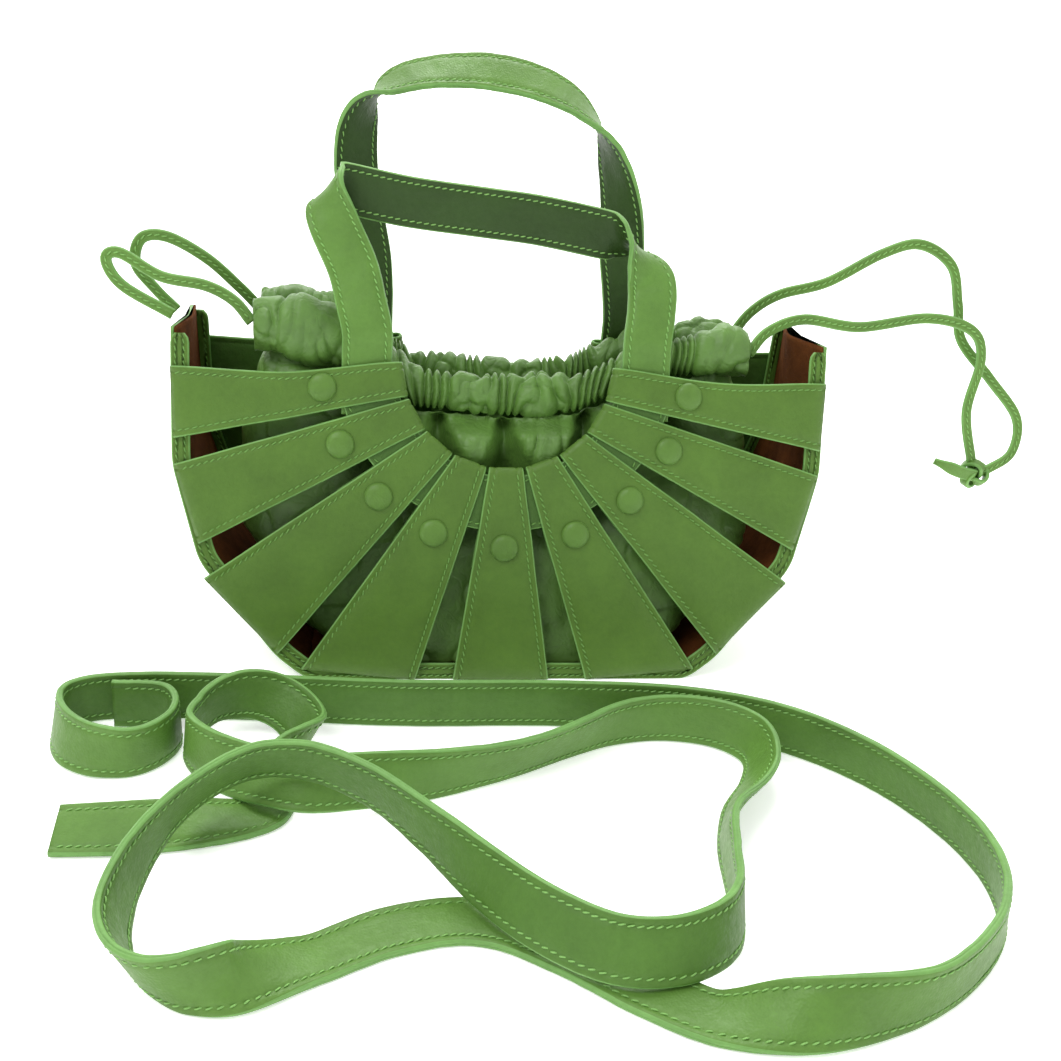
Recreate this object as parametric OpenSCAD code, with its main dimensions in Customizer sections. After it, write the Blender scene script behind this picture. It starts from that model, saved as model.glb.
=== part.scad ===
// A small leather shell bag: two fans of nine strips, two handles, a drawstring pouch and a loose strap.
// Millimetres. +X is to the right of the front, -Y faces the front, +Z is up. The origin is the middle of
// the base where it rests.

/* [Bag body] */
// Half of the width across the two gussets
half_w = 145.5; // [145:0.5:146]
// Height of a fan panel, measured along the leaning panel
panel_h = 143; // [142:0.5:144]
// Angle by which each panel leans in towards the mouth, in degrees
lean = 12; // [11.5:0.25:12.5]
// Depth of the base from front to back
base_d = 124; // [123:0.5:126]
// Thickness of the leather
leather = 1.5; // [1.3:0.1:1.6]

/* [Fan] */
// Radius of the scooped rim, from the middle of the fan
rim_r = 46; // [45.5:0.25:46.5]
// Angle between neighbouring strips, in degrees
pitch = 20; // [19:0.25:20]
// Gap between neighbouring strips at the rim
rim_gap = 1; // [0.8:0.1:1.6]
// Length of the tail that is folded in behind each strip
tail_len = 46; // [44:1:50]
// Width of the curved collar that the strips fold round
collar_w = 25; // [22:1:26]
// Width of the binding along the outer edge of a fan
edge_w = 8; // [7:0.5:9]

/* [Snaps] */
// Distance of each snap from the middle of the fan
snap_r = 82; // [81:0.5:83]
// Diameter of a snap's cap
cap_d = 12.5; // [11:0.5:13]
// Diameter of a snap's stud
stud_d = 2.8; // [2:0.1:3]

/* [Handles and strap] */
// Width of the two handles
handle_w = 22; // [20:0.5:22]
// Thickness of a handle, two layers of leather
handle_t = 3; // [2.6:0.1:3.2]
// Width of the shoulder strap
strap_w = 21; // [20:0.5:21]
// Thickness of the shoulder strap
strap_t = 2.8; // [2.4:0.1:3]
// Width of the drawstring thong
thong_w = 5; // [4:0.5:5]
// Thickness of the drawstring thong
thong_t = 2; // [1.8:0.1:2.2]

/* [Hidden] */
$fn = 64;
slack = 0.1;
panel_lift = 0.6;
fold_r = (2 * leather + 3.5) / 2;
fold_w = leather - fold_r;
foot_w = -1.8;
tail_w = leather - 2 * fold_r;
lining_t = 1;
stud_hole = stud_d + 0.2;
strip_hw = rim_r * tan(pitch / 2) - rim_gap / 2;
socket_h = 2.2;
rise = cos(lean);
green = [0.36, 0.53, 0.25];
dark_green = [0.24, 0.39, 0.15];
brown = [0.45, 0.24, 0.12];

// Upper and lower outer corners of strips 1 to 5, in the panel's own plane; 6 to 9 mirror 4 to 1
strip_ends = [
    [[-145, -5], [-144, -36]],
    [[-144, -47], [-134, -82]],
    [[-132, -97], [-100, -131]],
    [[-90, -138], [-39, -143]],
    [[-22, -143], [22, -143]]
];
top_sag = [-95, -6];

// Left half of the bag's outline from the top of the gusset to the base, in the panel's plane
gusset_top = 11;
outline = [[-half_w, gusset_top], [-half_w, -47], [-134.5, -90], [-101, -133], [-88, -panel_h]];
base_half = 85;

// The pouch: its outline in front view, and the line of its gathered mouth
pouch_side = [[-124, 100], [-122, 56], [-96, 16], [-82, 4], [82, 4], [96, 16], [120, 56], [118, 100]];
mouth_line = [
    [-110, 142], [-92, 141], [-70, 134], [-40, 115], [0, 112], [34, 115], [61, 127], [97, 136], [110, 134]
];
casing_y = 17;
casing_r = 7;
casing_h = 10;
pouch_wall = 2;

// Handles: middle of the leather, and the direction from its outer edge to its inner edge
foot_x = 62;
foot_top = 4;
front_handle_path = [
    [[-62, -28.6, 152], [22, 0, 0]], [[-64.5, -25.5, 163], [22, 0, 2]],
    [[-68.5, -20.5, 178], [21, 0, 5]], [[-76, -16, 194], [21, -1, 5]],
    [[-79.5, -13, 203.5], [17, -7, 10]], [[-79, -9, 209], [12, -12, 14]],
    [[-76, -5, 210], [6, -8, 20]], [[-71.5, -3.5, 209.5], [3, 0, 22]],
    [[-44.5, -3.5, 205], [3, 0, 22]], [[-13, -3.5, 202], [3, 0, 22]],
    [[13.5, -3.5, 199.5], [3, 0, 22]], [[41.5, -5, 195], [3, 0, 22]],
    [[50, -7, 193.5], [0, -13, 18]], [[56.5, -11, 190], [-9, -19, 8]],
    [[61, -15, 183.5], [-18, -13, -2]], [[64, -18.5, 174.5], [-21, 0, -4]],
    [[63.5, -24, 163], [-22, 0, -1]], [[62, -28.6, 152], [-22, 0, 0]]
];
rear_handle_path = [
    [[-62, 28.6, 152], [22, 0, 0]], [[-62, 29.5, 162], [22, 2, 0]], [[-63, 33, 178], [21, 6, 0]],
    [[-66.5, 36.5, 198], [20, 9, 0]], [[-69, 38.5, 219], [20, 10, 1]], [[-67, 40, 237], [16, 13, 6]],
    [[-57, 42, 251], [10, 16, 12]], [[-37, 43.5, 259], [2, 18, 13]], [[-6, 44, 261], [2, 16, 16]],
    [[24, 42.5, 254.5], [1, 17, 14]], [[43, 40.5, 241], [-2, 20, 9]], [[52.5, 38.5, 223], [-11, 18, 1]],
    [[57.5, 36, 203], [-17, 13, -2]], [[59, 34, 183], [-21, 5, 0]], [[61, 30.5, 165], [-22, 1, 0]],
    [[62, 28.6, 152], [-22, 0, 0]]
];

// Drawstring thongs, from the pouch outwards
left_rear_route = [
    [-112.4, 16, 153], [-121, 12, 163], [-134, 6, 176], [-150, 3, 185], [-161, 2, 184],
    [-164, 2, 173], [-156, 2, 162], [-147.2, 2, 153]
];
left_front_route = [
    [-112.4, -16, 152], [-120, -15, 161], [-132, -14, 167], [-151, -12, 170], [-168, -10, 179],
    [-174, -10, 176], [-168, -9, 165], [-147.2, -9, 153]
];
right_rear_route = [
    [112.4, 17, 146], [121, 15, 159], [134, 14, 168], [156, 12, 175], [180, 8, 190], [197, 6, 195],
    [213, 4, 186], [219, 3, 168], [223, 1, 151], [240, -1, 133], [257, -2, 114], [257, -4, 97],
    [246, -6, 89]
];
right_front_route = [
    [112.4, -17, 145], [121, -15, 155], [138, -13, 161], [166, -11, 158], [199, -10, 163],
    [222, -9, 158], [230, -8, 144], [228, -7, 118], [235, -6, 94.5]
];
knot_at = [238, -6, 86];
knot_r = 7;

// Shoulder strap on the ground: x, y and height of its lower edge, and its tilt from flat in degrees
strap_route = [
    [-165, -193, 0.2, 20], [-141, -193, 0.2, 26], [-118, -190, 0.2, 22], [-99, -184, 0.2, 8],
    [-88, -176, 0.2, 4], [-84, -162, 0.2, 8], [-85, -147, 0.5, 70], [-88, -131, 2, 128],
    [-96, -118, 6, 130], [-107, -111, 8, 100], [-119, -111, 7, 80], [-127, -118, 4, 78],
    [-129, -131, 2, 84], [-122, -148, 3, 76], [-110, -162, 4, 62], [-96, -171, 5, 54],
    [-80, -176, 5, 54], [-62, -171, 3, 64], [-40, -161, 0.2, 84], [-18, -152, 0.2, 102],
    [2, -142, 0.2, 110], [22, -130, 0.2, 108], [40, -121, 0.2, 98], [58, -117, 0.2, 90],
    [74, -119, 0.2, 84], [87, -126, 0.2, 78], [93, -138, 0.2, 66], [87, -154, 0.2, 50],
    [75, -173, 0.2, 52], [68, -196, 0.2, 78], [65, -220, 0.2, 88], [63, -242, 1, 98],
    [54, -259, 3, 108], [36, -269, 4, 116], [15, -267, 4, 118], [-5, -252, 4, 117],
    [-22, -231, 5, 110], [-38, -206, 9, 90], [-55, -187, 14, 78], [-76, -175, 18, 70],
    [-97, -172, 18, 64], [-114, -181, 15, 66], [-126, -199, 10, 78], [-131, -222, 3, 100],
    [-127, -246, 0.2, 116], [-114, -264, 0.2, 106], [-94, -271, 0.2, 50], [-70, -259, 0.2, 4],
    [-46, -247, 0.2, 3], [-22, -244, 0.2, 3], [0, -257, 0.2, 3], [22, -276, 0.2, 4],
    [44, -290, 0.2, 6], [72, -294, 0.2, 50], [104, -284, 0.2, 90], [130, -268, 0.2, 92],
    [150, -246, 0.2, 86], [158, -218, 0.2, 84], [154, -187, 0.2, 84], [138, -153, 0.2, 88],
    [110, -126, 0.2, 95], [72, -111, 0.2, 97], [20, -104, 0.2, 92], [-46, -103, 0.2, 92],
    [-113, -97, 0.2, 92], [-158, -95, 0.2, 90], [-178, -101, 0.2, 88], [-183, -114, 0.2, 80],
    [-177, -131, 0.2, 72], [-163, -141, 0.2, 76], [-147, -140, 0.2, 92], [-137, -130, 0.2, 92],
    [-134, -116, 0.2, 88], [-142, -104, 0.2, 90], [-162, -102, 0.2, 90]
];

// ---- Helpers ----

// Puts a shape drawn in a panel's own plane onto the front (0) or back (1) of the bag.
// In the panel's plane x runs across, y runs up from -panel_h at the base, and z points outwards.
module on_panel(side) {
    rotate([0, 0, 180 * side])
        translate([0, -base_d / 2, panel_lift])
            rotate([90 - lean, 0, 0])
                translate([0, panel_h, 0])
                    children();
}

function unit(v) = v / norm(v);
function mirrored(points) = [for (i = [len(points) - 1:-1:0]) [-points[i][0], points[i][1]]];
function both_halves(points) = concat(points, mirrored(points));

// Direction at point i of a line, taken from its neighbours
function along(line, i) = unit(line[min(i + 1, len(line) - 1)] - line[max(i - 1, 0)]);

// A line moved sideways by d, with its corners kept at their angles
function moved(line, d) = [
    for (i = [0:len(line) - 1])
        let (a = unit(line[max(i, 1)] - line[max(i, 1) - 1]),
             b = unit(line[min(i, len(line) - 2) + 1] - line[min(i, len(line) - 2)]),
             n = unit([-a[1] - b[1], a[0] + b[0]]))
        line[i] + n * d / (n * [-a[1], a[0]])
];
function backwards(line) = [for (i = [len(line) - 1:-1:0]) line[i]];

// Outline points in front view, with the panel's lean taken out
function upright(points) = [for (p = points) [p[0], (p[1] + panel_h) * rise + panel_lift]];

// Distance of the inside of a panel from the middle plane, at height z and depth w behind its face
function half_depth(z, w) = base_d / 2 - (z - panel_lift) * tan(lean) + w / rise;

// The wedge between the two leaning panels, at depth w behind their faces
module wedge(w) {
    high = 200;
    rotate([90, 0, 90])
        linear_extrude(400, center = true)
            polygon([
                [-half_depth(-5, w), -5], [half_depth(-5, w), -5],
                [half_depth(high, w), high], [-half_depth(high, w), high]
            ]);
}

// A flat band swept along a line: middles, directions across its width, width and thickness
function band_ring(c, g, n, w, t) = [
    for (p = [[-2, -1], [-1.8, -2], [1.8, -2], [2, -1], [2, 1], [1.8, 2], [-1.8, 2], [-2, 1]])
        c + g * p[0] * w / 4 + n * p[1] * t / 4
];
module band(middles, across, w, t) {
    last = len(middles) - 1;
    points = [
        for (i = [0:last])
            let (d = along(middles, i), g = unit(across[i] - d * (across[i] * d)), n = cross(d, g))
            each band_ring(middles[i], g, n, w, t)
    ];
    sides = [
        for (i = [0:last - 1], k = [0:7])
            let (a = 8 * i + k, b = 8 * i + (k + 1) % 8)
            each [[a, b, a + 8], [b, b + 8, a + 8]]
    ];
    ends = [for (k = [1:6]) each [[0, k + 1, k], [8 * last, 8 * last + k, 8 * last + k + 1]]];
    polyhedron(points, concat(sides, ends));
}
module handle_band(path) {
    band([for (s = path) s[0]], [for (s = path) s[1]], handle_w, handle_t);
}
module thong(route) {
    band(route, [for (i = [0:len(route) - 1]) cross(along(route, i), [0, 1, 0])], thong_w, thong_t);
}

// ---- Fan strips ----

function strip_row(k) = k <= 5 ? k - 1 : 9 - k;
function fan_dir(m) = [-sin((4 - m) * pitch), -cos((4 - m) * pitch)];
function fan_up(m) = [-cos((4 - m) * pitch), sin((4 - m) * pitch)];
function inner_corner(m, side) = fan_dir(m) * (rim_r - 1) + fan_up(m) * strip_hw * side;
function strip_outline(m) = concat(
    [inner_corner(m, 1)], m == 0 ? [top_sag] : [], strip_ends[m], [inner_corner(m, -1)]
);

// Where a strip's middle line crosses the circle of snaps
function snap_point(m) =
    let (a = fan_dir(m) * rim_r, b = (strip_ends[m][0] + strip_ends[m][1]) / 2, d = unit(b - a),
         s = -(a * d) + sqrt((a * d) * (a * d) - a * a + snap_r * snap_r))
    a + d * s;

// Side view of a strip: outer layer, round fold and inner tail
module hairpin() {
    far = panel_h + 27;
    mid = rim_r + fold_r;
    translate([mid, 0]) square([far - mid, leather]);
    translate([mid, tail_w]) square([tail_len - fold_r, leather]);
    translate([mid, fold_w])
        difference() {
            circle(fold_r);
            circle(fold_r - leather);
            translate([0, -fold_r]) square([fold_r, 2 * fold_r]);
        }
}

module strip(k, side) {
    m = strip_row(k);
    dir = fan_dir(m);
    color(green)
        on_panel(side)
            mirror([k <= 5 ? 0 : 1, 0, 0])
                difference() {
                    intersection() {
                        translate([0, 0, -10]) linear_extrude(20) polygon(strip_outline(m));
                        rotate([0, 0, atan2(dir[1], dir[0])])
                            rotate([90, 0, 0])
                                linear_extrude(160, center = true) hairpin();
                    }
                    translate(snap_point(m)) cylinder(d = stud_hole, h = 20, center = true);
                }
}

// Repeats a shape at the nine snaps of one panel
module at_snaps(side) {
    on_panel(side)
        for (k = [1:9])
            mirror([k <= 5 ? 0 : 1, 0, 0]) translate(snap_point(strip_row(k))) children();
}

module snap_caps(side) {
    dome_h = 3;
    dome_r = (cap_d * cap_d / 4 + dome_h * dome_h) / (2 * dome_h);
    color(green)
        at_snaps(side)
            translate([0, 0, leather])
                intersection() {
                    translate([0, 0, dome_h - dome_r]) sphere(dome_r);
                    cylinder(d = cap_d, h = dome_h);
                }
}

module snap_studs(side) {
    color("silver")
        at_snaps(side)
            translate([0, 0, tail_w - socket_h + 0.5])
                cylinder(d = stud_d, h = leather - tail_w + socket_h - 0.5);
}

module snap_sockets(side) {
    socket_d = cap_d - 2;
    color("silver")
        at_snaps(side)
            translate([0, 0, tail_w - socket_h])
                difference() {
                    cylinder(d = socket_d, h = socket_h);
                    translate([0, 0, -1]) cylinder(d = stud_hole, h = socket_h + 2);
                }
}

// ---- Frame of the panels ----

module collar(side) {
    layer = leather + 0.1;
    inner = rim_r + fold_r + 0.6;
    collar_top = -3;
    color(dark_green)
        on_panel(side)
            translate([0, 0, -layer - slack])
                linear_extrude(layer)
                    difference() {
                        circle(inner + collar_w, $fn = 128);
                        circle(inner, $fn = 128);
                        translate([-2 * inner, collar_top]) square(4 * inner);
                    }
}

module edge_binding(side) {
    line = concat([[-half_w, gusset_top - 2]], [for (i = [1:4]) outline[i]]);
    inside = moved(line, edge_w);
    color(green)
        on_panel(side)
            translate([0, 0, -leather - 2 * slack])
                linear_extrude(leather + slack)
                    polygon(concat(both_halves(line), backwards(both_halves(inside))));
}

// One side of the bag's depth: a band that follows the outline from the rim to the base
module side_band(first, thick, w) {
    line = upright(outline);
    intersection() {
        rotate([90, 0, 0])
            linear_extrude(200, center = true)
                polygon(concat(moved(line, first), backwards(moved(line, first + thick))));
        wedge(w);
    }
}

module gusset(side) {
    color(green) mirror([side, 0, 0]) side_band(0, leather, -leather - 3 * slack);
}

module lining(side) {
    color(brown)
        mirror([side, 0, 0])
            side_band(leather + slack, lining_t, -leather - 4 * slack);
}

// A flat sheet across the bottom of the bag, with its lower face at z
module floor_sheet(z, thick) {
    depth = half_depth(z + thick, -2 * leather - 4 * slack);
    translate([-base_half, -depth, z]) cube([2 * base_half, 2 * depth, thick]);
}

module base_panel() {
    color(green) floor_sheet(0, leather + panel_lift);
}

module base_lining() {
    color(brown) floor_sheet(leather + panel_lift + slack, lining_t);
}

// ---- Handles ----

module handle_feet(side) {
    foot_len = 28;
    color(dark_green)
        on_panel(side)
            for (x = [-foot_x, foot_x])
                translate([x - handle_w / 2, -foot_len, foot_w - leather])
                    cube([handle_w, foot_len + foot_top, leather]);
}

module front_handle() {
    color(green) handle_band(front_handle_path);
}

module rear_handle() {
    color(green) handle_band(rear_handle_path);
}

// ---- Pouch and drawstring ----

module pouch_form(inset, w, up) {
    low = moved(pouch_side, inset);
    top = [for (p = backwards(mouth_line)) [p[0], p[1] + up]];
    intersection() {
        rotate([90, 0, 0]) linear_extrude(200, center = true) polygon(concat(low, top));
        wedge(w);
    }
}

module drawstring_pouch() {
    behind_sockets = tail_w - socket_h - 0.6;
    color(green)
        difference() {
            pouch_form(0, behind_sockets, 0);
            pouch_form(pouch_wall, behind_sockets - pouch_wall, 1);
        }
}

module casing(side) {
    last = len(mouth_line) - 1;
    sides = 12;
    points = [
        for (i = [0:last], k = [0:sides - 1])
            let (a = 360 * k / sides)
            [mouth_line[i][0], side * casing_y + casing_r * cos(a),
             mouth_line[i][1] + casing_h + slack + casing_h * sin(a)]
    ];
    around = [
        for (i = [0:last - 1], k = [0:sides - 1])
            let (a = sides * i + k, b = sides * i + (k + 1) % sides)
            each [[a, a + sides, b], [b, a + sides, b + sides]]
    ];
    ends = [
        for (k = [1:sides - 2])
            each [[0, k, k + 1], [sides * last, sides * last + k + 1, sides * last + k]]
    ];
    color(dark_green) polyhedron(points, concat(around, ends));
}

module thong_knot() {
    color(green) translate(knot_at) sphere(knot_r);
}

// ---- Shoulder strap ----

module shoulder_strap() {
    line = [for (p = strap_route) [p[0], p[1], 0]];
    across = [
        for (i = [0:len(line) - 1])
            let (d = along(line, i), tilt = strap_route[i][3])
            [-d[1] * cos(tilt), d[0] * cos(tilt), sin(tilt)]
    ];
    middles = [
        for (i = [0:len(line) - 1])
            let (p = strap_route[i])
            line[i] + across[i] * strap_w / 2 + [0, 0, p[2] + abs(cos(p[3])) * strap_t / 2]
    ];
    color(green) band(middles, across, strap_w, strap_t);
}

for (k = [1:9]) {
    strip(k, 0);
    strip(k, 1);
}
collar(0);  // front_collar
collar(1);  // back_collar
edge_binding(0);  // front_edge_binding
edge_binding(1);  // back_edge_binding
gusset(0);  // left_gusset
gusset(1);  // right_gusset
base_panel();
lining(0);  // left_lining
lining(1);  // right_lining
base_lining();
snap_caps(0);  // front_snap_caps
snap_caps(1);  // back_snap_caps
snap_studs(0);  // front_snap_studs
snap_studs(1);  // back_snap_studs
snap_sockets(0);  // front_snap_sockets
snap_sockets(1);  // back_snap_sockets
handle_feet(0);  // front_handle_feet
handle_feet(1);  // rear_handle_feet
front_handle();
rear_handle();
drawstring_pouch();
casing(-1);  // front_casing
casing(1);  // rear_casing
color(green) thong(left_rear_route);  // left_thong_rear
color(green) thong(left_front_route);  // left_thong_front
color(green) thong(right_rear_route);  // right_thong_rear
color(green) thong(right_front_route);  // right_thong_front
thong_knot();
shoulder_strap();
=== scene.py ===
"""Looks of the leather shell bag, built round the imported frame. Metres, +Z up, -Y is the front."""

import math

import bpy
import numpy as np
from mathutils import Matrix


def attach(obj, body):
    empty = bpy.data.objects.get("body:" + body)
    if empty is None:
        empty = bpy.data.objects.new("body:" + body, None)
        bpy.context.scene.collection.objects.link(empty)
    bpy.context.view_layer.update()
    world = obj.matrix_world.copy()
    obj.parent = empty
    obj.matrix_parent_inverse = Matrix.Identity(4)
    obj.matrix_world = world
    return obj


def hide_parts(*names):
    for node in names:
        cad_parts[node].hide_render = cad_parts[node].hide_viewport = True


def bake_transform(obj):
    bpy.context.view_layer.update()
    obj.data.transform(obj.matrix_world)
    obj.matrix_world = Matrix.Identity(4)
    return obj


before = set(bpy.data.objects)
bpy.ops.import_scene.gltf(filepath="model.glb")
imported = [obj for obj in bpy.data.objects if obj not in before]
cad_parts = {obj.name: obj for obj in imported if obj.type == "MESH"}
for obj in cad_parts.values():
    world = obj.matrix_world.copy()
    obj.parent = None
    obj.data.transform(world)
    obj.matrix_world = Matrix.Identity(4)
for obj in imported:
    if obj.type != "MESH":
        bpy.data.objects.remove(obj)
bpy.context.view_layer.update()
MM = 0.001

# ---- Sizes shared with the CAD model, in millimetres ----
HALF_W = 145.5
PANEL_H = 143.0
LEAN = math.radians(12)
BASE_D = 124.0
PANEL_LIFT = 0.6
LEATHER = 1.5
RIM_R = 46.0
PITCH = math.radians(20)
RIM_GAP = 1.0
TAIL_LEN = 46.0
SNAP_R = 82.0
HANDLE_W = 22.0
HANDLE_T = 3.0
STRAP_W = 21.0
STRAP_T = 2.8
THONG_W = 5.0
# Places that only the visible pieces use, in millimetres
FOOT_X = 62
FOOT_HEIGHT = -2.55
SEAM_IN = 3.0
END_STRIP_SAG = 3.2
FLOOR_HALF_W = 87.5
CASING_Y = 17
POUCH_BASE = 4
POUCH_H = 130
THONG_T = 2.0
EDGE_W = 8.0
GUSSET_TOP = 11.0
FOLD_R = (2 * LEATHER + 3.5) / 2
STRIP_HW = RIM_R * math.tan(PITCH / 2) - RIM_GAP / 2
STITCH = 3.1

STRIP_ENDS = [
    [[-145, -5], [-144, -36]],
    [[-144, -47], [-134, -82]],
    [[-132, -97], [-100, -131]],
    [[-90, -138], [-39, -143]],
    [[-22, -143], [22, -143]],
]
OUTLINE = [[-HALF_W, GUSSET_TOP], [-HALF_W, -47], [-134.5, -90], [-101, -133], [-88, -PANEL_H]]
MOUTH_LINE = [
    [-110, 142], [-92, 141], [-70, 134], [-40, 115], [0, 112], [34, 115], [61, 127], [97, 136], [110, 134]
]

# Routes, the same points as in the CAD source
# Middle of the band and direction across it. Most rows of the front handle were computed outside this
# script and pasted in, with four of them changed since.
FRONT_HANDLE = [
    [[-62, -28.6, 152], [22, 0, 0]], [[-64.5, -25.5, 163], [22, 0, 2]],
    [[-68.5, -20.5, 178], [21, 0, 5]], [[-76, -16, 194], [21, -1, 5]],
    [[-79.5, -13, 203.5], [17, -7, 10]], [[-79, -9, 209], [12, -12, 14]],
    [[-76, -5, 210], [6, -8, 20]], [[-71.5, -3.5, 209.5], [3, 0, 22]],
    [[-44.5, -3.5, 205], [3, 0, 22]], [[-13, -3.5, 202], [3, 0, 22]],
    [[13.5, -3.5, 199.5], [3, 0, 22]], [[41.5, -5, 195], [3, 0, 22]],
    [[50, -7, 193.5], [0, -13, 18]], [[56.5, -11, 190], [-9, -19, 8]],
    [[61, -15, 183.5], [-18, -13, -2]], [[64, -18.5, 174.5], [-21, 0, -4]],
    [[63.5, -24, 163], [-22, 0, -1]], [[62, -28.6, 152], [-22, 0, 0]],
]
REAR_HANDLE = [
    [[-62, 28.6, 152], [22, 0, 0]], [[-62, 29.5, 162], [22, 2, 0]], [[-63, 33, 178], [21, 6, 0]],
    [[-66.5, 36.5, 198], [20, 9, 0]], [[-69, 38.5, 219], [20, 10, 1]], [[-67, 40, 237], [16, 13, 6]],
    [[-57, 42, 251], [10, 16, 12]], [[-37, 43.5, 259], [2, 18, 13]], [[-6, 44, 261], [2, 16, 16]],
    [[24, 42.5, 254.5], [1, 17, 14]], [[43, 40.5, 241], [-2, 20, 9]], [[52.5, 38.5, 223], [-11, 18, 1]],
    [[57.5, 36, 203], [-17, 13, -2]], [[59, 34, 183], [-21, 5, 0]], [[61, 30.5, 165], [-22, 1, 0]],
    [[62, 28.6, 152], [-22, 0, 0]],
]
THONG_ROUTES = {
    "left_thong_rear": [
        [-112.4, 16, 153], [-121, 12, 163], [-134, 6, 176], [-150, 3, 185], [-161, 2, 184],
        [-164, 2, 173], [-156, 2, 162], [-147.2, 2, 153],
    ],
    "left_thong_front": [
        [-112.4, -16, 152], [-120, -15, 161], [-132, -14, 167], [-151, -12, 170], [-168, -10, 179],
        [-174, -10, 176], [-168, -9, 165], [-147.2, -9, 153],
    ],
    "right_thong_rear": [
        [112.4, 17, 146], [121, 15, 159], [134, 14, 168], [156, 12, 175], [180, 8, 190], [197, 6, 195],
        [213, 4, 186], [219, 3, 168], [223, 1, 151], [240, -1, 133], [257, -2, 114], [257, -4, 97],
        [246, -6, 89],
    ],
    "right_thong_front": [
        [112.4, -17, 145], [121, -15, 155], [138, -13, 161], [166, -11, 158], [199, -10, 163],
        [222, -9, 158], [230, -8, 144], [228, -7, 118], [235, -6, 94.5],
    ],
}
KNOT_AT = [238, -6, 86]
# x, y and height of the lower edge, and tilt from flat in degrees
STRAP_ROUTE = [
    [-165, -193, 0.2, 20], [-141, -193, 0.2, 26], [-118, -190, 0.2, 22], [-99, -184, 0.2, 8],
    [-88, -176, 0.2, 4], [-84, -162, 0.2, 8], [-85, -147, 0.5, 70], [-88, -131, 2, 128],
    [-96, -118, 6, 130], [-107, -111, 8, 100], [-119, -111, 7, 80], [-127, -118, 4, 78],
    [-129, -131, 2, 84], [-122, -148, 3, 76], [-110, -162, 4, 62], [-96, -171, 5, 54],
    [-80, -176, 5, 54], [-62, -171, 3, 64], [-40, -161, 0.2, 84], [-18, -152, 0.2, 102],
    [2, -142, 0.2, 110], [22, -130, 0.2, 108], [40, -121, 0.2, 98], [58, -117, 0.2, 90],
    [74, -119, 0.2, 84], [87, -126, 0.2, 78], [93, -138, 0.2, 66], [87, -154, 0.2, 50],
    [75, -173, 0.2, 52], [68, -196, 0.2, 78], [65, -220, 0.2, 88], [63, -242, 1, 98],
    [54, -259, 3, 108], [36, -269, 4, 116], [15, -267, 4, 118], [-5, -252, 4, 117],
    [-22, -231, 5, 110], [-38, -206, 9, 90], [-55, -187, 14, 78], [-76, -175, 18, 70],
    [-97, -172, 18, 64], [-114, -181, 15, 66], [-126, -199, 10, 78], [-131, -222, 3, 100],
    [-127, -246, 0.2, 116], [-114, -264, 0.2, 106], [-94, -271, 0.2, 50], [-70, -259, 0.2, 4],
    [-46, -247, 0.2, 3], [-22, -244, 0.2, 3], [0, -257, 0.2, 3], [22, -276, 0.2, 4],
    [44, -290, 0.2, 6], [72, -294, 0.2, 50], [104, -284, 0.2, 90], [130, -268, 0.2, 92],
    [150, -246, 0.2, 86], [158, -218, 0.2, 84], [154, -187, 0.2, 84], [138, -153, 0.2, 88],
    [110, -126, 0.2, 95], [72, -111, 0.2, 97], [20, -104, 0.2, 92], [-46, -103, 0.2, 92],
    [-113, -97, 0.2, 92], [-158, -95, 0.2, 90], [-178, -101, 0.2, 88], [-183, -114, 0.2, 80],
    [-177, -131, 0.2, 72], [-163, -141, 0.2, 76], [-147, -140, 0.2, 92], [-137, -130, 0.2, 92],
    [-134, -116, 0.2, 88], [-142, -104, 0.2, 90], [-162, -102, 0.2, 90],
]


# ---- Camera ----
def add_camera():
    """A short telephoto view from above the front, turned slightly to the right and rolled a little."""
    place = (-0.0519, -0.5512, 0.2527)
    pitch, yaw, roll = math.radians(20), math.radians(7.2), math.radians(3.2)
    focal_pixels, picture = 1200, 1061
    ahead = np.array([math.sin(yaw) * math.cos(pitch), math.cos(yaw) * math.cos(pitch), -math.sin(pitch)])
    right = np.array([math.cos(yaw), -math.sin(yaw), 0.0])
    up = np.cross(right, ahead)
    x_axis = right * math.cos(roll) + up * math.sin(roll)
    y_axis = up * math.cos(roll) - right * math.sin(roll)
    data = bpy.data.cameras.new("camera")
    data.sensor_width = 36
    data.lens = focal_pixels / picture * data.sensor_width
    camera = bpy.data.objects.new("camera", data)
    bpy.context.scene.collection.objects.link(camera)
    turn = Matrix((x_axis, y_axis, -ahead)).transposed().to_4x4()
    camera.matrix_world = Matrix.Translation(place) @ turn
    bpy.context.scene.camera = camera


add_camera()


# ---- Numbers and curves ----
def unit(v):
    v = np.asarray(v, float)
    return v / np.maximum(np.linalg.norm(v, axis=-1, keepdims=True), 1e-12)


def smooth_line(points, step):
    """A Catmull-Rom curve through the points, resampled evenly about every step."""
    p = np.asarray(points, float)
    ends = np.vstack([2 * p[0] - p[1], p, 2 * p[-1] - p[-2]])
    t = np.linspace(0, 1, 25)[:-1, None]
    dense = []
    for a, b, c, d in zip(ends, ends[1:], ends[2:], ends[3:]):
        dense.append(0.5 * (2 * b + (c - a) * t + (2 * a - 5 * b + 4 * c - d) * t**2
                            + (3 * b - a - 3 * c + d) * t**3))
    dense = np.vstack(dense + [p[-1:]])
    run = run_along(dense[:, :3])
    count = max(int(round(run[-1] / step)), 2) + 1
    even = np.linspace(0, run[-1], count)
    return np.stack([np.interp(even, run, dense[:, k]) for k in range(dense.shape[1])], axis=1)


def run_along(line):
    """Distance along a polyline at each of its points."""
    return np.r_[0, np.cumsum(np.linalg.norm(np.diff(line, axis=0), axis=1))]


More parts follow.
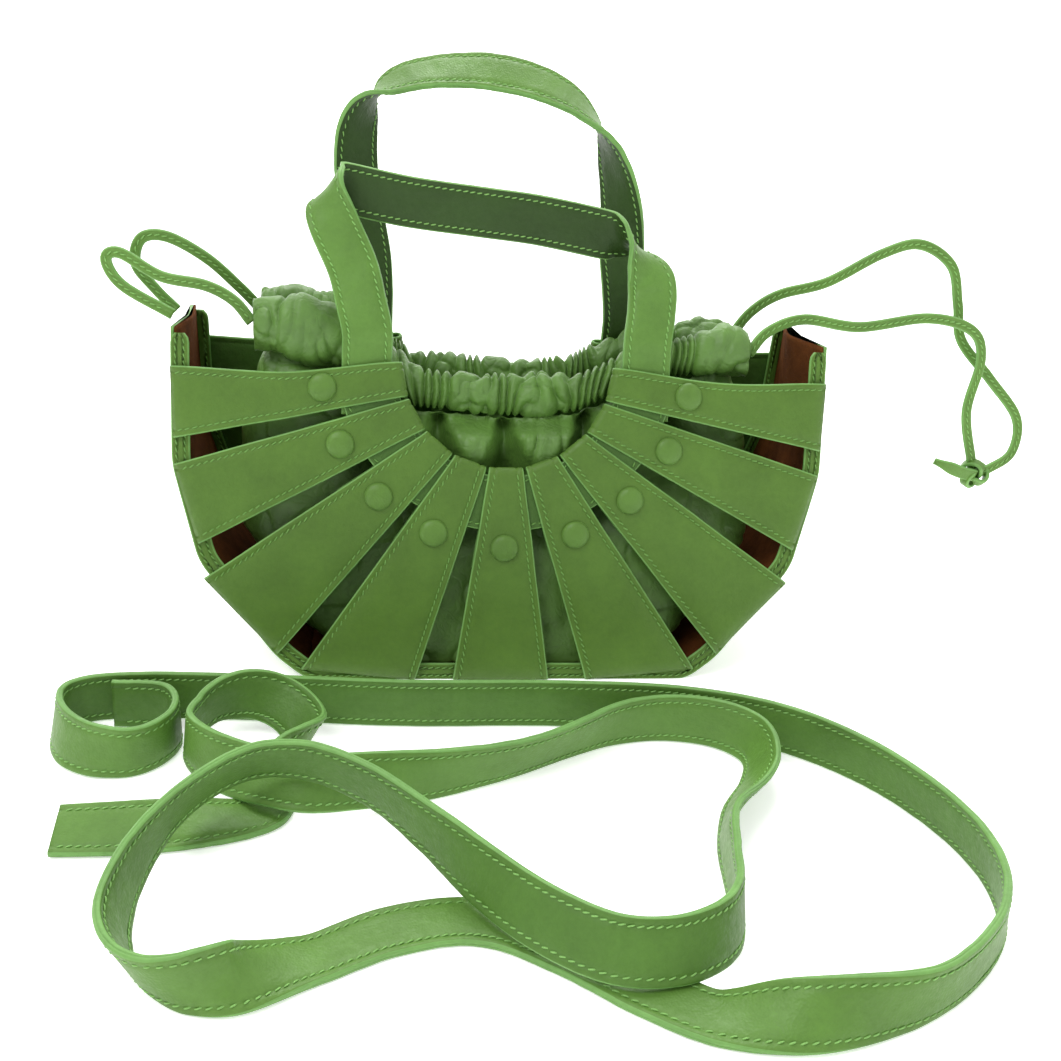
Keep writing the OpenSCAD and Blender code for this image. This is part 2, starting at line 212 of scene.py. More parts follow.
def smoothstep(a, b, x):
    """Rises smoothly from zero at a to one at b."""
    t = np.clip((x - a) / (b - a), 0, 1)
    return t * t * (3 - 2 * t)


def tangents(line):
    return unit(np.gradient(line, axis=0))


def lattice_noise(table, p, cell):
    """Smooth value noise between -1 and 1 at points p, with cells of that size."""
    q = np.asarray(p, float) / cell
    base = np.floor(q).astype(int)
    f = q - base
    f = f * f * (3 - 2 * f)
    total = np.zeros(len(q))
    dims = q.shape[1]
    for corner in range(2**dims):
        bits = [(corner >> k) & 1 for k in range(dims)]
        key = np.zeros(len(q), int)
        weight = np.ones(len(q))
        for k in range(dims):
            key = key * 73856093 + (base[:, k] + bits[k]) * (19349663 + 83492791 * k)
            weight = weight * (f[:, k] if bits[k] else 1 - f[:, k])
        total += weight * table[np.abs(key) % len(table)]
    return total


NOISE = np.random.default_rng(7).uniform(-1, 1, 4096)


def noise(p, cell):
    return lattice_noise(NOISE, p, cell)


# ---- Materials ----
def new_material(name):
    m = bpy.data.materials.new(name)
    m.use_nodes = True
    nodes, links = m.node_tree.nodes, m.node_tree.links
    shader = nodes["Principled BSDF"]
    place = nodes.new("ShaderNodeTexCoord")
    return m, nodes, links, shader, place.outputs["Object"]


def noise_node(nodes, links, place, scale, detail=3.0, rough=0.5):
    n = nodes.new("ShaderNodeTexNoise")
    n.inputs["Scale"].default_value = scale
    n.inputs["Detail"].default_value = detail
    n.inputs["Roughness"].default_value = rough
    links.new(place, n.inputs["Vector"])
    return n.outputs["Fac"]


def ramp_node(nodes, links, source, stops):
    n = nodes.new("ShaderNodeValToRGB")
    while len(n.color_ramp.elements) < len(stops):
        n.color_ramp.elements.new(0.5)
    for element, (at, color) in zip(n.color_ramp.elements, stops):
        element.position = at
        element.color = (*color, 1)
    links.new(source, n.inputs["Fac"])
    return n.outputs["Color"]


def grey(value):
    return (value, value, value)


def mixed(nodes, links, kind, factor, a, b):
    n = nodes.new("ShaderNodeMix")
    n.data_type = "RGBA"
    n.blend_type = kind
    n.inputs["Factor"].default_value = factor
    links.new(a, n.inputs["A"])
    links.new(b, n.inputs["B"])
    return n.outputs["Result"]


def bumped(nodes, links, shader, layers):
    """Stacks bump layers: (height, distance in metres, strength)."""
    last = None
    for height, distance, strength in layers:
        n = nodes.new("ShaderNodeBump")
        n.inputs["Strength"].default_value = strength
        n.inputs["Distance"].default_value = distance
        links.new(height, n.inputs["Height"])
        if last is not None:
            links.new(last, n.inputs["Normal"])
        last = n.outputs["Normal"]
    links.new(last, shader.inputs["Normal"])


def leather_material(name, color, rough=0.46, grain=0.5, crease=0.35, contrast=0.14):
    """Dyed smooth leather: soft mottling, a fine pebble and long faint creases."""
    m, nodes, links, shader, place = new_material(name)
    dark = tuple(c * (1 - contrast) for c in color)
    light = tuple(min(c * (1 + contrast), 1) for c in color)
    mottle = noise_node(nodes, links, place, 38, 5, 0.6)
    fine = noise_node(nodes, links, place, 420, 4, 0.65)
    base = ramp_node(nodes, links, mottle, [(0.3, dark), (0.52, color), (0.75, light)])
    speck = ramp_node(nodes, links, fine, [(0.3, grey(0.86)), (0.7, grey(1.0))])
    links.new(mixed(nodes, links, "MULTIPLY", 0.8, base, speck), shader.inputs["Base Color"])
    gloss = ramp_node(nodes, links, fine, [(0.3, grey(rough + 0.1)), (0.7, grey(rough - 0.07))])
    links.new(gloss, shader.inputs["Roughness"])
    pebble = nodes.new("ShaderNodeTexVoronoi")
    pebble.feature = "SMOOTH_F1"
    pebble.inputs["Scale"].default_value = 1150
    pebble.inputs["Smoothness"].default_value = 0.6
    links.new(place, pebble.inputs["Vector"])
    wave = noise_node(nodes, links, place, 120, 3, 0.55)
    bumped(nodes, links, shader, [(wave, 0.0011, crease), (pebble.outputs["Distance"], 0.00022, grain)])
    shader.inputs["Specular IOR Level"].default_value = 0.3
    return m


def suede_material(name, color):
    """Napped suede: matte, cloudy."""
    m, nodes, links, shader, place = new_material(name)
    clouds = noise_node(nodes, links, place, 60, 6, 0.7)
    nap = noise_node(nodes, links, place, 900, 5, 0.8)
    base = ramp_node(nodes, links, clouds, [
        (0.25, tuple(c * 0.5 for c in color)), (0.5, color), (0.78, tuple(c * 1.6 for c in color))])
    fuzz = ramp_node(nodes, links, nap, [(0.3, grey(0.6)), (0.7, grey(1.0))])
    links.new(mixed(nodes, links, "MULTIPLY", 0.9, base, fuzz), shader.inputs["Base Color"])
    shader.inputs["Roughness"].default_value = 0.95
    shader.inputs["Specular IOR Level"].default_value = 0.04
    bumped(nodes, links, shader, [(clouds, 0.0015, 0.5), (nap, 0.0006, 0.8)])
    return m


def cloth_material(name, color):
    """Thin crinkled cloth: crumple lines over a fine plain weave."""
    m, nodes, links, shader, place = new_material(name)
    shade = noise_node(nodes, links, place, 55, 5, 0.6)
    base = ramp_node(nodes, links, shade, [
        (0.28, tuple(c * 0.72 for c in color)), (0.5, color), (0.74, tuple(c * 1.25 for c in color))])
    crumple = nodes.new("ShaderNodeTexVoronoi")
    crumple.feature = "DISTANCE_TO_EDGE"
    crumple.inputs["Scale"].default_value = 150
    bend = nodes.new("ShaderNodeTexNoise")
    bend.inputs["Scale"].default_value = 90
    links.new(place, bend.inputs["Vector"])
    warp = nodes.new("ShaderNodeMix")
    warp.data_type = "VECTOR"
    warp.inputs["Factor"].default_value = 0.03
    links.new(place, warp.inputs["A"])
    links.new(bend.outputs["Color"], warp.inputs["B"])
    links.new(warp.outputs["Result"], crumple.inputs["Vector"])
    lines = ramp_node(nodes, links, crumple.outputs["Distance"], [(0.0, grey(0.0)), (0.25, grey(1.0))])
    weave = []
    for axis in ("X", "Z"):
        w = nodes.new("ShaderNodeTexWave")
        w.bands_direction = axis
        w.inputs["Scale"].default_value = 700
        links.new(place, w.inputs["Vector"])
        weave.append(w.outputs["Fac"])
    threads = mixed(nodes, links, "MULTIPLY", 1.0, weave[0], weave[1])
    soft = ramp_node(nodes, links, threads, [(0.0, grey(0.88)), (1.0, grey(1.0))])
    links.new(mixed(nodes, links, "MULTIPLY", 0.8, base, soft), shader.inputs["Base Color"])
    shader.inputs["Roughness"].default_value = 0.46
    shader.inputs["Specular IOR Level"].default_value = 0.5
    bumped(nodes, links, shader, [
        (shade, 0.0012, 0.3), (lines, 0.0005, 0.3), (threads, 0.00006, 0.5)])
    return m


def plain_material(name, color, rough, metal=0.0, mottle=0.12, scale=300):
    m, nodes, links, shader, place = new_material(name)
    spots = noise_node(nodes, links, place, scale, 3, 0.5)
    base = ramp_node(nodes, links, spots, [
        (0.3, tuple(c * (1 - mottle) for c in color)), (0.7, tuple(min(c * (1 + mottle), 1) for c in color))])
    links.new(base, shader.inputs["Base Color"])
    links.new(ramp_node(nodes, links, spots, [(0.3, grey(rough + 0.06)), (0.7, grey(rough - 0.06))]),
              shader.inputs["Roughness"])
    shader.inputs["Metallic"].default_value = metal
    bumped(nodes, links, shader, [(spots, 0.0001, 0.3)])
    return m


GREEN = (0.084, 0.174, 0.023)
OUTER = leather_material("green_leather", GREEN)
CAP_SKIN = leather_material("cap_leather", (0.1, 0.205, 0.034), rough=0.42, grain=0.35, crease=0.15)
STRAP_SKIN = leather_material("strap_leather", (0.106, 0.226, 0.038), rough=0.46)
# The strap's second face, darker than its skin though both faces are the same leather: painted shade for the
# sides that turn away from the light.
STRAP_PAINTED_SHADE = leather_material("strap_leather_painted_shade", (0.078, 0.178, 0.026), rough=0.5, crease=0.7)
# Handle leather much darker than the strap skin: painted shade for the handle faces that turn down, away from
# the light.
HANDLE_PAINTED_SHADE = leather_material("handle_leather_painted_shade", (0.026, 0.062, 0.009), rough=0.5, crease=0.8)
# Back face of the green leather, darker than its grain side: partly its own tone, partly painted shade for
# faces that turn into the bag.
INNER_AND_SHADE = leather_material("green_leather_inner_and_shade", (0.06, 0.14, 0.022), rough=0.55, grain=0.7, crease=0.7)
EDGE = leather_material("painted_edge", (0.16, 0.34, 0.085), rough=0.5, grain=0.2, crease=0.2)
THREAD = plain_material("green_thread", (0.14, 0.31, 0.06), 0.6, scale=2000)
STRAP_THREAD = plain_material("strap_thread", (0.2, 0.42, 0.1), 0.6, scale=2000)
SUEDE = suede_material("brown_suede", (0.12, 0.04, 0.011))
CLOTH = cloth_material("pouch_cloth", (0.1, 0.215, 0.036))
METAL = plain_material("nickel", (0.62, 0.61, 0.58), 0.3, metal=1.0, mottle=0.05)


# ---- Mesh building ----
def add_mesh(name, verts, faces, materials, kinds=None, smooth=True):
    """A mesh piece. verts are millimetres, kinds gives each face's material index."""
    mesh = bpy.data.meshes.new(name)
    verts = np.asarray(verts, float) * MM
    faces = np.asarray(faces, int)
    mesh.vertices.add(len(verts))
    mesh.vertices.foreach_set("co", verts.astype(np.float32).ravel())
    corners = faces.shape[1]
    mesh.loops.add(faces.size)
    mesh.loops.foreach_set("vertex_index", faces.ravel())
    mesh.polygons.add(len(faces))
    mesh.polygons.foreach_set("loop_start", np.arange(0, faces.size, corners))
    for material in materials:
        mesh.materials.append(material)
    if kinds is not None:
        mesh.polygons.foreach_set("material_index", np.asarray(kinds, int))
    mesh.polygons.foreach_set("use_smooth", np.full(len(faces), smooth))
    mesh.update(calc_edges=True)
    mesh.validate()
    piece = bpy.data.objects.new(name, mesh)
    bpy.context.scene.collection.objects.link(piece)
    return piece


def grid_faces(rows, cols, closed):
    """Quads of a grid of rows by cols points, closed round each row if asked."""
    i, k = np.meshgrid(np.arange(rows - 1), np.arange(cols if closed else cols - 1), indexing="ij")
    a = i * cols + k
    b = i * cols + (k + 1) % cols
    return np.stack([a, b, b + cols, a + cols], axis=-1).reshape(-1, 4)


def joined(parts):
    """Several (verts, faces, kinds) as one."""
    verts, faces, kinds, start = [], [], [], 0
    for v, f, k in parts:
        verts.append(v)
        faces.append(np.asarray(f) + start)
        kinds.append(np.broadcast_to(k, len(f)))
        start += len(v)
    return np.vstack(verts), np.vstack(faces), np.concatenate(kinds)


def band_profile(t, seam, rows, groove=0.3, spread=0.45, inner=4):
    """Closed cross-section of a leather band: (share of half width, offset inwards, height).
    rows are the distances of the stitch rows from the edge, and inner the number of points between them.
    Also the kinds of its faces: 0 is the outer face, 1 the inner, 2 the edge."""
    h = t / 2
    rim = [(0.0, 0.1), (0.1, 0.45), (0.3, 0.75), (0.65, 0.94), (1.1, 1.0)]
    face = [(b, h * y) for b, y in rim]
    for row in rows:
        face += [(row - 0.95, h), (row - 0.4, h - groove * 0.6), (row, h - groove),
                 (row + 0.4, h - groove * 0.6), (row + 1.0, h)]
    half = [(-1, b, y) for b, y in face]
    middle = [(a, 0.0, h) for a in np.linspace(-spread, spread, inner)]
    top = half + middle + [(1, -b, y) for _, b, y in reversed(half)]
    bottom = [(a, b, -y) for a, b, y in reversed(top)]
    loop = top + [(1, -seam, 0.0)] + bottom + [(-1, seam, 0.0)]
    kinds = []
    for n in range(len(loop)):
        a, b = loop[n], loop[(n + 1) % len(loop)]
        high = (a[2] + b[2]) / 2
        kinds.append(2 if abs(high) < h * 0.86 and max(abs(a[1]), abs(b[1])) < 1 else (0 if high > 0 else 1))
    return np.array(loop), np.array(kinds)


def band_sections(mid, g, n, w, profile, lift=None):
    """Points of a band: for each station the profile loop. w may vary; lift moves a face point along n."""
    w = np.broadcast_to(w, len(mid))
    x = profile[None, :, 0] * w[:, None] / 2 + profile[None, :, 1]
    y = np.broadcast_to(profile[None, :, 2], x.shape)
    if lift is not None:
        y = y + lift(x, y)
    return mid[:, None] + g[:, None] * x[..., None] + n[:, None] * y[..., None]


def band_shell(sections, kinds):
    """Verts, faces and face kinds of a band with flat ends."""
    rows, cols, _ = sections.shape
    faces = grid_faces(rows, cols, True)[:, ::-1]
    ring = np.arange(cols)
    after = (ring + 1) % cols
    verts, caps = [sections.reshape(-1, 3)], []
    for row, turn in ((0, 1), (rows - 1, -1)):
        middle = sections[row].mean(0)
        start = rows * cols + len(caps) // 2 * (cols + 1)
        verts.append(np.vstack([middle + (sections[row] - middle) * 0.5, middle[None]]))
        edge = np.stack([row * cols + ring, row * cols + after, start + after, start + ring], axis=1)
        fan = np.stack([start + ring[::2], start + ring[1::2], start + after[1::2],
                        np.full(cols // 2, start + cols)], axis=1)
        caps += [edge[:, ::turn], fan[:, ::turn]]
    caps = np.vstack(caps)
    return np.vstack(verts), np.vstack([faces, caps]), np.r_[np.tile(kinds, rows - 1), np.full(len(caps), 2)]


def stitches(at, along, normal, across, length=2.4, r=0.31, slant=0.3):
    """Small threads lying on the leather: a spindle at each point, its ends sunk into the hole."""
    rings = np.array([[-0.5, 0.25], [-0.42, 0.8], [-0.15, 1.0], [0.15, 1.0], [0.42, 0.8], [0.5, 0.25]])
    sides = 6
    angle = np.arange(sides) * 2 * math.pi / sides
    along = unit(along + across * slant)
    side = unit(np.cross(along, normal))
    arch = 0.26 * (1 - (2 * rings[:, 0]) ** 4) - 0.12
    mid = at[:, None] + along[:, None] * (rings[None, :, 0, None] * length) \
        + normal[:, None] * arch[None, :, None]
    rad = (rings[:, 1] * r)[None, :, None, None]
    ring = (side[:, None, None] * np.cos(angle)[None, None, :, None]
            + normal[:, None, None] * np.sin(angle)[None, None, :, None]) * rad
    points = mid[:, :, None] + ring
    count, steps = len(at), len(rings)
    faces = grid_faces(steps, sides, True)
    per = steps * sides
    all_faces = (faces[None] + (np.arange(count) * per)[:, None, None]).reshape(-1, 4)
    return points.reshape(-1, 3), all_faces


def stitch_rows(mid, g, n, offsets, height, pitch=STITCH, margin=2.0, faces=(1, -1)):
    """Stitches along a band at each offset from its middle line, on both faces."""
    run = run_along(mid)
    count = int((run[-1] - 2 * margin) / pitch)
    where = margin + (np.arange(count) + 0.5) * pitch
    d = tangents(mid)

    def at(values):
        return np.stack([np.interp(where, run, values[:, k]) for k in range(values.shape[1])], axis=1)

    parts = []
    for offset in offsets:
        shift = offset if np.ndim(offset) else np.full(len(mid), offset)
        line = mid + g * shift[:, None]
        for face in faces:
            normal = unit(at(n)) * face
            parts.append(stitches(at(line) + normal * height, unit(at(d)), normal, unit(at(g)) * face))
    return [(v, f, 3) for v, f in parts]


def soft_band(name, mid, g, w, t, rows, lift=None, skins=None, seam=0.25, groove=0.36):
    """A leather band with rounded edges and stitch rows, and its thread, as one piece."""
    d = tangents(mid)
    g = unit(g - d * np.sum(g * d, axis=1, keepdims=True))
    n = np.cross(d, g)
    profile, kinds = band_profile(t, seam, rows, groove)
    shell = band_shell(band_sections(mid, g, n, w, profile, lift), kinds)
    offsets = [side * (np.broadcast_to(w, len(mid)) / 2 - row) for row in rows for side in (-1, 1)]
    threads = stitch_rows(mid, g, n, offsets, t / 2 - groove + 0.16)
    verts, faces, all_kinds = joined([shell] + threads)
    return add_mesh(name, verts, faces, skins or [OUTER, INNER_AND_SHADE, EDGE, THREAD], all_kinds)


# ---- Placing pieces on the leaning panels ----
def on_panel(points, side):
    """World place of (across, up, outwards) points of a panel. side 0 is the front, 1 the back."""
    p = np.asarray(points, float)
    up = PANEL_H + p[..., 1]
    x = p[..., 0]
    y = -BASE_D / 2 + up * math.sin(LEAN) - p[..., 2] * math.cos(LEAN)
    z = PANEL_LIFT + up * math.cos(LEAN) + p[..., 2] * math.sin(LEAN)
    turn = -1 if side else 1
    return np.stack([x * turn, y * turn, z], axis=-1)


def panel_normal(side):
    turn = -1 if side else 1
    return np.array([0.0, -math.cos(LEAN) * turn, math.sin(LEAN)])


def half_depth(z, w):
    """Distance of a panel's plane, at depth w behind its face, from the middle plane at height z."""
    return BASE_D / 2 - (z - PANEL_LIFT) * math.tan(LEAN) + w / math.cos(LEAN)


# ---- Shoulder strap ----
def strap_frame(route, step):
    """Middle line of the strap and the direction across it, from its lower edge and its tilt."""
    fine = smooth_line(route, step)
    flat = np.c_[fine[:, :2], np.zeros(len(fine))]
    d = tangents(flat)
    tilt = np.radians(fine[:, 3])
    g = np.c_[-d[:, 1] * np.cos(tilt), d[:, 0] * np.cos(tilt), np.sin(tilt)]
    lowest = np.c_[fine[:, :2], fine[:, 2] + np.abs(np.cos(tilt)) * STRAP_T / 2]
    return lowest + g * STRAP_W / 2, g


def add_strap():
    """The long loose strap, with its waves, creases and two rows of stitches."""
    step = 1.6
    mid, g = strap_frame(STRAP_ROUTE, step)
    run = np.arange(len(mid)) * step

    def lift(x, y):
        wave = noise(np.c_[np.repeat(run, x.shape[1]), x.ravel() * 1.5], 9).reshape(x.shape)
        crease = noise(np.c_[np.repeat(run, x.shape[1]), x.ravel() * 0.3 + 50], 3.2).reshape(x.shape)
        return wave * 0.12 + np.where(y < 0, crease * 0.14, crease * 0.05)

    strap = soft_band("shoulder_strap_leather", mid, g, STRAP_W, STRAP_T, [SEAM_IN], lift,
                      [STRAP_SKIN, STRAP_PAINTED_SHADE, EDGE, STRAP_THREAD])
    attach(strap, "bag")
    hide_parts("shoulder_strap")


add_strap()


# ---- Drawstring thongs and knot ----
def add_thong(name, route):
    """One strand of the drawstring, with a slow twist and one row of stitches."""
    into_knot = [KNOT_AT] if name.startswith("right") else []
    step = 1.1
    mid = smooth_line(route + into_knot, step)
    d = tangents(mid)
    g = unit(np.cross(d, np.array([0.0, 1.0, 0.0])))
    run = np.arange(len(mid)) * step
    twist = 0.35 * noise(np.c_[run, np.full(len(run), len(name))], 42)
    n = np.cross(d, g)
    g = g * np.cos(twist)[:, None] + n * np.sin(twist)[:, None]
    g = unit(g - d * np.sum(g * d, axis=1, keepdims=True))
    n = np.cross(d, g)

    def lift(x, y):
        return -0.25 * np.exp(-((x / 0.5) ** 2)) * np.sign(y) * (np.abs(y) > 0.95)

    profile, kinds = band_profile(THONG_T, 0.12, [], 0.1, 0.5, 11)
    shell = band_shell(band_sections(mid, g, n, THONG_W, profile, lift), kinds)
    verts, faces, all_kinds = joined([shell] + stitch_rows(mid, g, n, [0.0], THONG_T / 2 - 0.1))
    thong = add_mesh(name + "_leather", verts, faces, [STRAP_SKIN, STRAP_SKIN, EDGE, STRAP_THREAD], all_kinds)
    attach(thong, "bag")
    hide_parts(name)


def add_knot():
    """An overhand knot of the thong, with a short tail that sticks out to the left."""
    a = np.linspace(0, 2 * math.pi, 150)
    reach = 2 + np.cos(3 * a)
    loop = np.c_[reach * np.cos(2 * a), 1.4 * np.sin(3 * a), reach * np.sin(2 * a)]
    mid = np.array(KNOT_AT) + loop * 2.2
    d = tangents(mid)
    out = unit(mid - KNOT_AT)
    g = np.cross(unit(np.cross(d, out)), d)
    g = np.cross(d, g)
    profile, kinds = band_profile(THONG_T, 0.12, [], 0.1)
    shells = [band_shell(band_sections(mid, unit(g), unit(np.cross(d, g)), 5.2, profile), kinds)]
    tail = smooth_line([[237, -9, 86], [229, -11, 88], [221, -11, 91], [215, -9, 93]], 0.8)
    d = tangents(tail)
    g = unit(np.cross(d, np.array([0.0, 1.0, 0.2])))
    w = 6.4 - 3.0 * smoothstep(0.55, 1, np.linspace(0, 1, len(tail)))
    shells.append(band_shell(band_sections(tail, g, np.cross(d, g), w, profile), kinds))
    verts, faces, all_kinds = joined(shells)
    knot = add_mesh("thong_knot_leather", verts, faces, [STRAP_SKIN, STRAP_SKIN, EDGE], all_kinds)
    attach(knot, "bag")
    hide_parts("thong_knot")
    return knot


knot = add_knot()
for thong_name, thong_route in THONG_ROUTES.items():
    add_thong(thong_name, thong_route)


# ---- Handles ----
def handle_frame(path, step):
    """Middle line of a handle and the direction across it."""
    both = np.array([np.r_[c, unit(g)] for c, g in path])
    fine = smooth_line(both, step)
    return fine[:, :3], unit(fine[:, 3:])


def add_handle(name, path, side):
    """The leather of one handle, with the feet that run down behind the end strips."""
    feet = []
    for sign in (-1, 1):
        ends = [on_panel([(-sign if side else sign) * FOOT_X, v, FOOT_HEIGHT], side) for v in (-24, -12, 2)]
        feet.append([[end, [-HANDLE_W * sign, 0, 0]] for end in ends])
    step = 1.4
    mid, g = handle_frame(feet[0] + path + feet[1][::-1], step)
    run = np.arange(len(mid)) * step

    def lift(x, y):
        along = np.repeat(run, x.shape[1])
        wave = noise(np.c_[along, x.ravel() * 1.2], 8).reshape(x.shape)
        crease = noise(np.c_[along, x.ravel() * 0.3 + 90], 2.9).reshape(x.shape)
        return wave * 0.14 + crease * 0.17

    # The handle face that is seen turned down gets the dark handle leather, which is painted shade.
    handle = soft_band(name + "_leather", mid, g, HANDLE_W, HANDLE_T, [SEAM_IN], lift,
                       [HANDLE_PAINTED_SHADE, STRAP_SKIN, EDGE, STRAP_THREAD] if side == 0 else
                       [STRAP_SKIN, HANDLE_PAINTED_SHADE, EDGE, STRAP_THREAD])
    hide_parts(name, name + "_feet")
    return handle


front_handle = add_handle("front_handle", FRONT_HANDLE, 0)
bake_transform(front_handle)
rear_handle = add_handle("rear_handle", REAR_HANDLE, 1)
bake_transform(rear_handle)


# ---- Fan ----
def strip_row(k):
    return k - 1 if k <= 5 else 9 - k


def fan_axes(row):
    """Direction of a strip away from the fan's middle, and the direction across it, upwards."""
    a = (4 - row) * PITCH
    return np.array([-math.sin(a), -math.cos(a)]), np.array([-math.cos(a), math.sin(a)])


def snap_point(row):
    d, _ = fan_axes(row)
    a = d * RIM_R
    b = np.mean(STRIP_ENDS[row], axis=0)
    e = (b - a) / np.linalg.norm(b - a)
    return a + e * (-(a @ e) + math.sqrt((a @ e) ** 2 - a @ a + SNAP_R**2))


# ---- Fan strips ----
def strip_stations(row):
    """Left and right edge of a strip from its tail, round the fold at the rim, to its outer end, in the
    panel's plane, with the height of the leather's middle."""
    d, up = fan_axes(row)
    corners = np.array(STRIP_ENDS[row], float)
    top, low = [np.array([c @ d, c @ up]) for c in corners]
    start = RIM_R + FOLD_R
    edges = [np.array([[RIM_R, sign * STRIP_HW], corner]) for sign, corner in ((1, top), (-1, low))]

    def across_at(edge, s):
        (s0, c0), (s1, c1) = edge
        return c0 + (c1 - c0) * (s - s0) / (s1 - s0)

    left, right, high = [], [], []
    mid_r = FOLD_R - LEATHER / 2
    for s in np.linspace(RIM_R + TAIL_LEN, start, 14)[:-1]:
        sag = END_STRIP_SAG * math.sin(math.pi * (s - start) / (top[0] - start)) ** 1.5 if row == 0 else 0
        left.append([s, across_at(edges[0], s) - sag])
        right.append([s, across_at(edges[1], s)])
        high.append(LEATHER / 2 - 2 * mid_r)
    for a in np.linspace(180, 0, 15)[:-1]:
        s = start - mid_r * math.sin(math.radians(a))
        left.append([s, across_at(edges[0], s)])
        right.append([s, across_at(edges[1], s)])
        high.append(LEATHER / 2 - mid_r + mid_r * math.cos(math.radians(a)))
    wrap, radius = 5.0, 7.0
    for u in np.linspace(0, 1, 58):
        for edge, corner, out in ((edges[0], top, left), (edges[1], low, right)):
            s = start + u * (corner[0] - start)
            c = across_at(edge, s)
            if row == 0 and corner is top:
                c -= END_STRIP_SAG * math.sin(math.pi * u) ** 1.5
            out.append([s, c])
        reach = (1 - u) * (top[0] + low[0] - 2 * start) / 2
        over = max(wrap - reach, 0)
        high.append(LEATHER / 2 - over * over / (2 * radius))
    place = [np.array(e)[:, :1] * d + np.array(e)[:, 1:] * up for e in (left, right)]
    return place[0], place[1], np.array(high)


def add_strip(k, side):
    row = strip_row(k)
    left, right, high = strip_stations(row)
    flip = 1 if k <= 5 else -1
    for edge in (left, right):
        edge[:, 0] *= flip
    across = (left - right) * flip
    w = np.linalg.norm(across, axis=1)
    middle = (left + right) / 2
    seed = 40.0 * k + 700 * side
    sway = 0.18 * noise(np.c_[np.arange(len(w)) * 2.0, np.full(len(w), seed)], 22)
    mid = on_panel(np.c_[middle + unit(across) * sway[:, None], high], side)
    flat = on_panel(np.c_[unit(across), np.zeros(len(w))], side) - on_panel(np.zeros((len(w), 3)), side)
    g = unit(flat)
    along = tangents(mid)
    n = unit(np.cross(along, g))
    if n[-20] @ panel_normal(side) < 0:
        g, n = -g, -n
    run = run_along(mid)

    def lift(x, y):
        along = np.repeat(run, x.shape[1])
        wave = noise(np.c_[along, x.ravel(), np.full(x.size, seed)], 26).reshape(x.shape)
        small = noise(np.c_[along, x.ravel(), np.full(x.size, seed + 9)], 7).reshape(x.shape)
        near_fold = np.exp(-((run - run[27]) / 7) ** 2)[:, None]
        crease = noise(np.c_[along, x.ravel() * 0.2, np.full(x.size, seed)], 2.4).reshape(x.shape)
        return 0.22 * wave + 0.05 * small + 0.16 * near_fold * crease

    profile, kinds = band_profile(LEATHER, 0.16, [SEAM_IN], 0.34)
    shell = band_shell(band_sections(mid, g, n, w, profile, lift), kinds)
    visible = slice(24, None)
    offsets = [sign * (w[visible] / 2 - SEAM_IN) for sign in (-1, 1)]
    threads = stitch_rows(mid[visible], g[visible], n[visible], offsets, LEATHER / 2 - 0.16,
                          margin=1.0, faces=(1,))
    verts, faces, all_kinds = joined([shell] + threads)
    name = ("front" if side == 0 else "back") + "_strip_%d" % k
    piece = add_mesh(name + "_leather", verts, faces, [OUTER, INNER_AND_SHADE, EDGE, THREAD], all_kinds)
    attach(piece, "bag")
    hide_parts(name)


for side in (0, 1):
    for k in range(1, 10):
        add_strip(k, side)


# ---- Snap caps ----
def add_caps(side):
    outline = np.array([
        [0.0, 2.9], [1.6, 2.84], [3.1, 2.62], [4.4, 2.25], [5.35, 1.75], [5.95, 1.15], [6.2, 0.55],
        [6.1, 0.1], [5.75, -0.15],
    ])
    turns = 48
    angle = np.arange(turns) * 2 * math.pi / turns
    parts = []
    for k in range(1, 10):
        p = snap_point(strip_row(k)) * np.array([1 if k <= 5 else -1, 1])
        spin = angle + k
        rings = []
        for r, h in outline:
            swell = 1 + 0.012 * np.sin(2 * angle + k)
            rings.append(np.c_[p[0] + r * swell * np.cos(spin), p[1] + r * swell * np.sin(spin),
                               np.full(turns, LEATHER + h)])
        points = on_panel(np.array(rings), side).reshape(-1, 3)
        parts.append((points, grid_faces(len(outline), turns, True)[:, ::-1], 0))
    verts, faces, kinds = joined(parts)
    name = ("front" if side == 0 else "back") + "_snap_caps"
    piece = add_mesh(name + "_leather", verts, faces, [CAP_SKIN], kinds)
    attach(piece, "bag")
    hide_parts(name)


# ---- Frame of the panels ----
def flat_band(name, node, line, g, w, t, skins, rows, seed, wave=0.15):
    """A still piece of leather along a line, with its own slow undulation."""
    run = run_along(line)

    def lift(x, y):
        points = np.c_[np.repeat(run, x.shape[1]), x.ravel(), np.full(x.size, seed)]
        return wave * noise(points, 14).reshape(x.shape)

    piece = soft_band(name, line, g, w, t, rows, lift, skins, seam=0.15, groove=0.2)
    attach(piece, "bag")
    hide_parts(node)
    return piece


def inset_line(points, d):
    """A polyline moved sideways by d, keeping its corners."""
    p = np.asarray(points, float)
    seg = unit(np.diff(p, axis=0))
    a = np.vstack([seg[:1], seg])
    b = np.vstack([seg, seg[-1:]])
    n = unit(np.c_[-a[:, 1] - b[:, 1], a[:, 0] + b[:, 0]])
    side = np.c_[-a[:, 1], a[:, 0]]
    return p + n * d / np.sum(n * side, axis=1, keepdims=True)


def rounded(points, radius, step):
    """A polyline with its corners eased over that radius, resampled evenly."""
    p = np.asarray(points, float)
    out = [p[0]]
    for a, b, c in zip(p, p[1:], p[2:]):
        into, away = unit(b - a), unit(c - b)
        r = min(radius, np.linalg.norm(b - a) / 2, np.linalg.norm(c - b) / 2)
        t = np.linspace(0, 1, 7)[:, None]
        out += list((1 - t) ** 2 * (b - into * r) + 2 * t * (1 - t) * b + t * t * (b + away * r))
    out.append(p[-1])
    out = np.array(out)
    run = run_along(out)
    even = np.linspace(0, run[-1], int(run[-1] / step) + 1)
    return np.stack([np.interp(even, run, out[:, k]) for k in range(out.shape[1])], axis=1)


